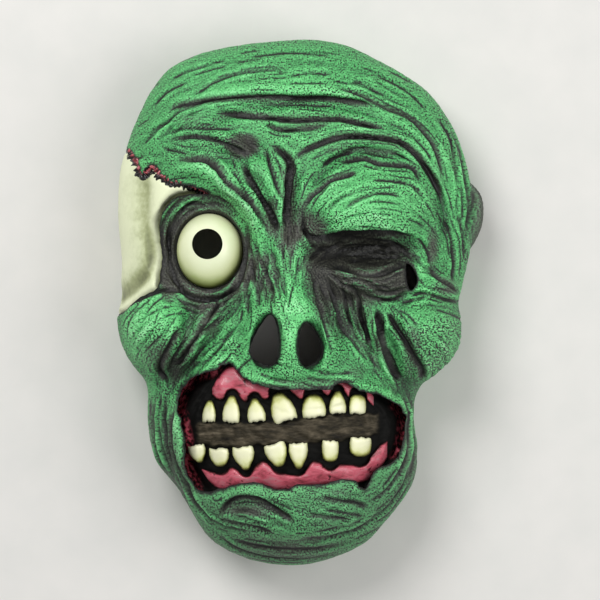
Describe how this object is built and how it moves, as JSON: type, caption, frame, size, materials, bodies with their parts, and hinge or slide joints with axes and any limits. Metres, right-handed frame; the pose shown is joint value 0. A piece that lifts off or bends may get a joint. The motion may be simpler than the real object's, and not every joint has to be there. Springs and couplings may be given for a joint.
{
  "type": "monster mask",
  "caption": "Rubber ghoul face mask, hollow and open at the back, with wrinkled green skin, bare skull patch, one bulging eye and a torn mouth.",
  "frame": {"origin": "in the plane of the open back's rim, under the middle of the mask's box", "axes": "+Z out of the face, away from the wearer; +Y to the top of the head; +X to the right of the face as it is looked at"},
  "size_m": [0.2025, 0.2889, 0.1046],
  "materials": {
    "green_latex": "cast latex, green dry-brushed over near-black",
    "bone_latex": "cast latex, cream with a dark wash",
    "dark_latex": "cast latex, dark brown",
    "eye_latex": "cast latex, smooth cream",
    "gum_latex": "cast latex, pink with a dark wash",
    "tooth_latex": "cast latex, cream"
  },
  "bodies": {
    "root": {"face_skin": "green_latex", "skull_plate": "bone_latex", "mouth_plate": "dark_latex", "eyeball": "eye_latex", "upper_gum": "gum_latex", "lower_gum": "gum_latex", "upper_tooth_1": "tooth_latex", "upper_tooth_2": "tooth_latex", "upper_tooth_3": "tooth_latex", "upper_tooth_4": "tooth_latex", "upper_tooth_5": "tooth_latex", "upper_tooth_6": "tooth_latex", "upper_tooth_7": "tooth_latex", "lower_tooth_1": "tooth_latex", "lower_tooth_2": "tooth_latex", "lower_tooth_3": "tooth_latex", "lower_tooth_4": "tooth_latex", "lower_tooth_5": "tooth_latex", "lower_tooth_6": "tooth_latex", "lower_tooth_7": "tooth_latex"}
  },
  "joints": []
}
